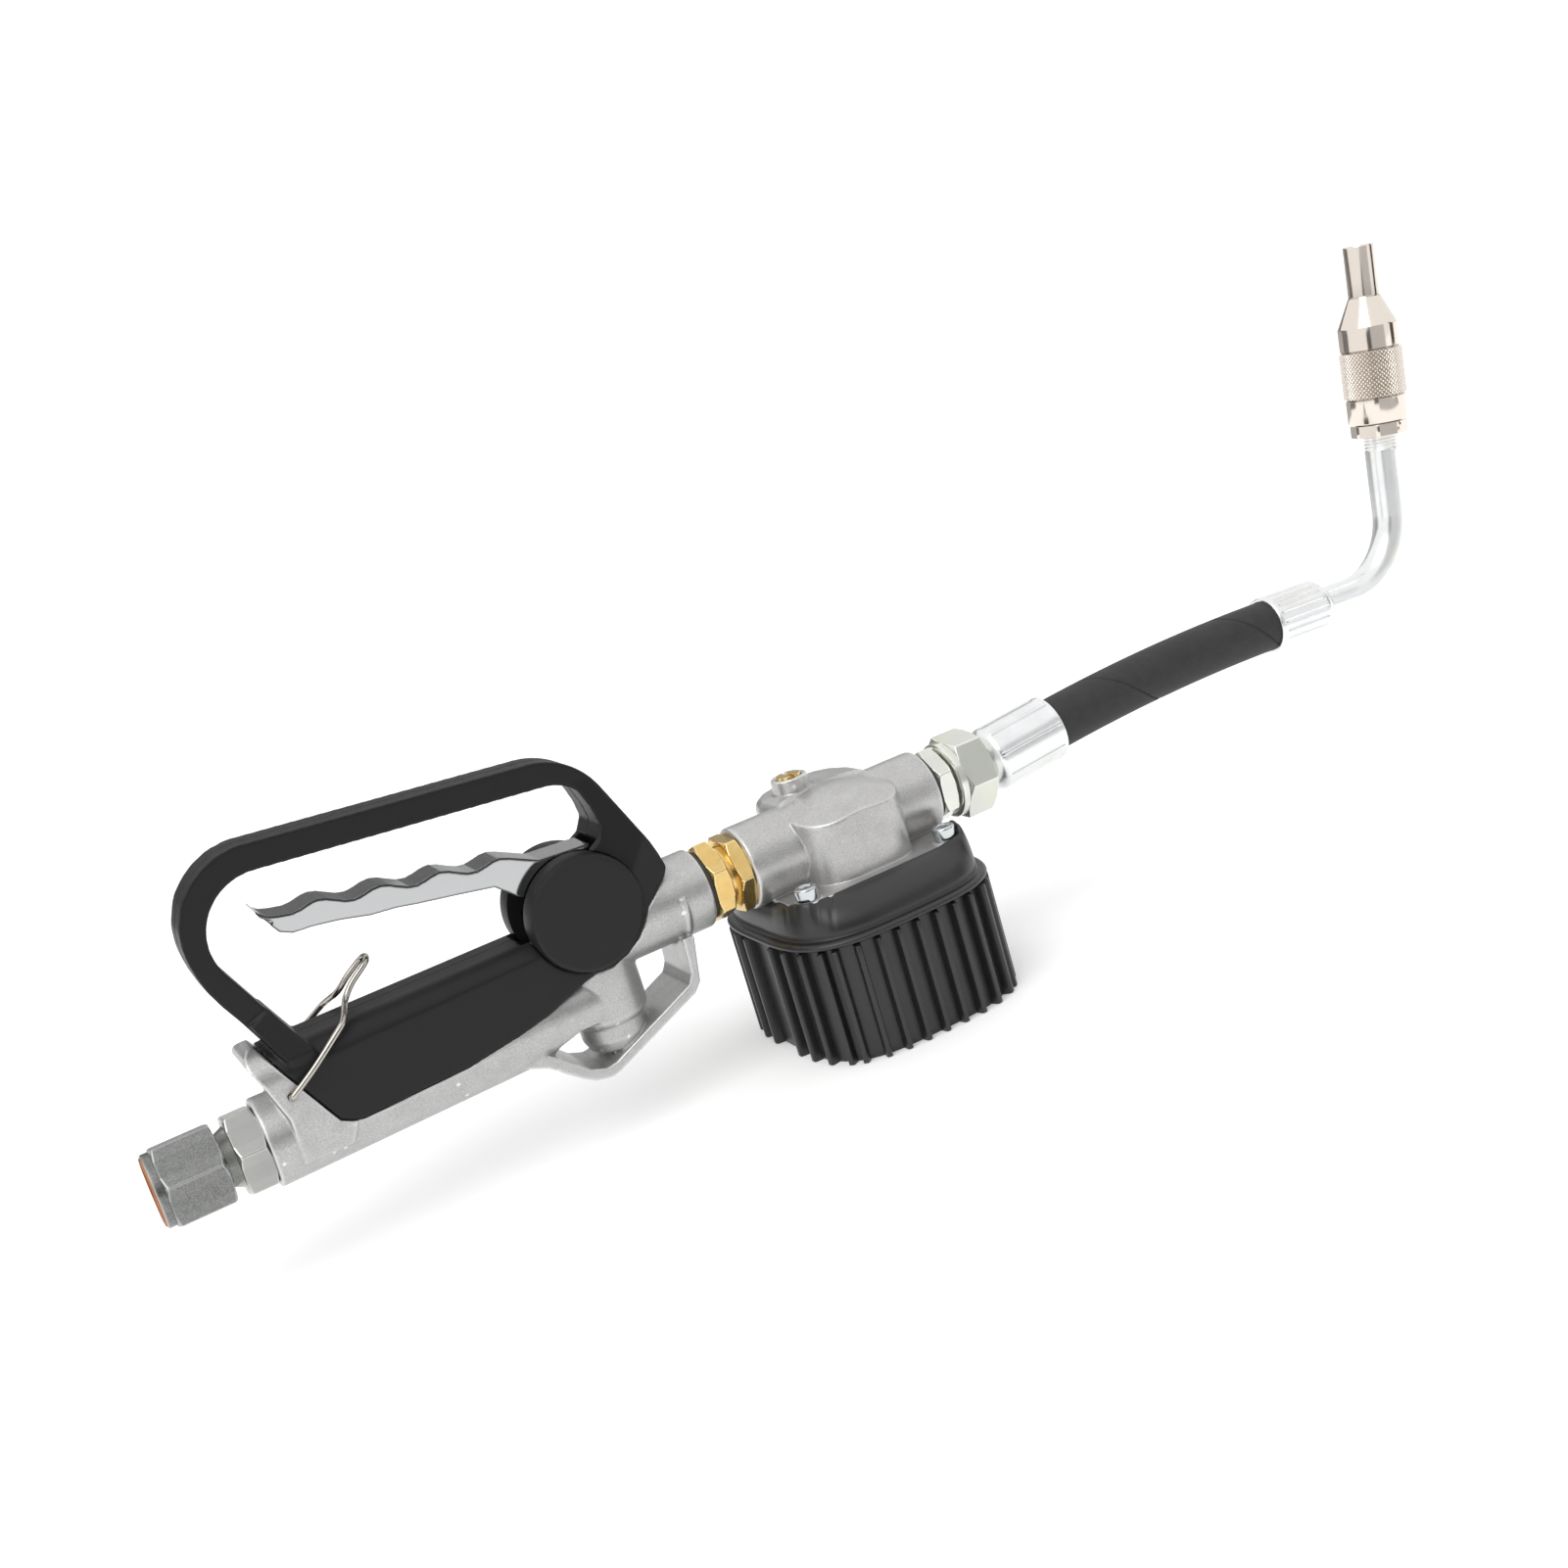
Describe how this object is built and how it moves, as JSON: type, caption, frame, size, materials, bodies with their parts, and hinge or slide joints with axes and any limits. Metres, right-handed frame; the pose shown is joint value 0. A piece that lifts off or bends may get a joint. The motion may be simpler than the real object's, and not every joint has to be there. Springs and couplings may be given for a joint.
{
  "type": "fuel nozzle",
  "caption": "Metered oil and fuel control gun: trigger valve handle with finger guard, meter in a ribbed boot, short hose, bent tube and twist tip.",
  "frame": {"origin": "centre of the inlet swivel nut's mouth", "axes": "+X along the gun from the inlet to the nozzle, +Z towards the trigger and finger guard, the meter's display faces -Z"},
  "size_m": [0.582, 0.096, 0.2164],
  "materials": {
    "cast_aluminium": "sand-cast skin, worn brighter on edges",
    "meter_casting": "sand-textured die casting",
    "cover_black": "fine-grained moulding",
    "cap_black": "fine-grained moulding",
    "housing_black": "fine-grained moulding",
    "boot_rubber": "satin moulded rubber",
    "seal_rubber": "moulded",
    "fibre_grey": "pressed fibre",
    "washer_copper": "soft copper",
    "hose_rubber": "matt, wrapped seams",
    "zinc_dark": "rough dull zinc",
    "zinc_pale": "dull pale zinc",
    "zinc_bright": "bright zinc",
    "chrome": "polished",
    "steel_bright": "turned",
    "spring_steel": "drawn wire",
    "latch_steel": "drawn wire",
    "brass_worn": "hot-stamped, tarnished",
    "tip_nickel": "warm bright nickel",
    "gear_polymer": "moulded",
    "board_green": "solder mask",
    "screen_grey": "liquid crystal panel",
    "window_clear": "clear",
    "battery_wrap": "shrink wrap",
    "key_grey": "moulded"
  },
  "bodies": {
    "handle": {"valve_body": "cast_aluminium", "grip_cover_near": "cover_black", "grip_cover_far": "cover_black", "pivot_cap_near": "cap_black", "pivot_cap_far": "cap_black", "cover_screws": "spring_steel", "trigger_pin": "steel_bright", "pin_clips": "spring_steel", "inlet_adapter": "zinc_pale", "inlet_strainer": "steel_bright", "valve_seat": "brass_worn", "stem_gland": "brass_worn", "gland_seal": "seal_rubber", "outlet_washer": "fibre_grey", "brass_nipple": "brass_worn", "brass_lock_nut": "brass_worn", "meter_body": "meter_casting", "meter_gasket": "seal_rubber", "gear_plate": "meter_casting", "gear_shafts": "steel_bright", "meter_screws": "zinc_bright", "brass_plug": "brass_worn", "display_housing": "housing_black", "display_board": "board_green", "display_screen": "screen_grey", "display_window": "window_clear", "battery": "battery_wrap", "battery_clip": "housing_black", "boot": "boot_rubber", "outlet_nipple": "zinc_pale", "outlet_seal": "fibre_grey", "hose_nut": "zinc_pale", "hose_tail": "zinc_bright", "rear_ferrule": "zinc_bright", "hose": "hose_rubber", "front_ferrule": "zinc_bright", "bent_tube": "zinc_bright", "tip_base": "tip_nickel", "tip_seal": "seal_rubber", "valve_spring": "spring_steel"},
    "trigger": {"trigger_lever": "chrome", "trigger_roller": "steel_bright"},
    "stem": {"valve_stem": "steel_bright", "poppet_seal": "seal_rubber"},
    "latch": {"latch_wire": "latch_steel"},
    "inlet_swivel": {"swivel_nut": "zinc_dark", "inlet_washer": "washer_copper", "swivel_clip": "spring_steel"},
    "gear_near": {"gear_a_rotor": "gear_polymer"},
    "gear_far": {"gear_b_rotor": "gear_polymer"},
    "left_key": {"button_left": "key_grey"},
    "right_key": {"button_right": "key_grey"},
    "tip_twist": {"tip_sleeve": "tip_nickel"},
    "tip_valve": {"tip_poppet": "steel_bright"}
  },
  "joints": [
    {"name": "inlet_spin", "type": "hinge", "parent": "handle", "child": "inlet_swivel", "pos_m": [0.012, 0, 0], "axis": [1, 0, 0], "continuous": true},
    {"name": "trigger_pull", "type": "hinge", "parent": "handle", "child": "trigger", "pos_m": [0.174, 0, 0.042], "axis": [0, -1, 0], "range_deg": [0, 12.5], "stiffness_Nm_per_rad": 1.5, "springref_deg": -14.32},
    {"name": "stem_lift", "type": "slide", "parent": "handle", "child": "stem", "axis": [0, 0, -1], "range_m": [0, 0.0026], "deforming": ["valve_spring"]},
    {"name": "latch_swing", "type": "hinge", "parent": "handle", "child": "latch", "pos_m": [0.05, 0, 0.0165], "axis": [0, 1, 0], "range_deg": [-40, 0]},
    {"name": "gear_near_spin", "type": "hinge", "parent": "handle", "child": "gear_near", "pos_m": [0.2715, -0.01025, 0.015], "axis": [0, 0, 1], "continuous": true},
    {"name": "gear_far_spin", "type": "hinge", "parent": "handle", "child": "gear_far", "pos_m": [0.2715, 0.01025, 0.015], "axis": [0, 0, 1], "continuous": true},
    {"name": "left_key_press", "type": "slide", "parent": "handle", "child": "left_key", "axis": [0, 0, 1], "range_m": [0, 0.0008], "stiffness_N_per_m": 400},
    {"name": "right_key_press", "type": "slide", "parent": "handle", "child": "right_key", "axis": [0, 0, 1], "range_m": [0, 0.0008], "stiffness_N_per_m": 400},
    {"name": "tip_turn", "type": "hinge", "parent": "handle", "child": "tip_twist", "pos_m": [0.56634, 0, 0.10597], "axis": [0.1132, 0, 0.9936], "range_deg": [0, 90]},
    {"name": "tip_open", "type": "slide", "parent": "handle", "child": "tip_valve", "axis": [0.1132, 0, 0.9936], "range_m": [0, 0.00199]}
  ],
  "couplings": [
    {"joint": "stem_lift", "follows": "trigger_pull", "m_per_rad": 0.011},
    {"joint": "gear_far_spin", "follows": "gear_near_spin", "ratio": -1},
    {"joint": "tip_turn", "follows": "tip_open", "rad_per_m": 787.4}
  ]
}
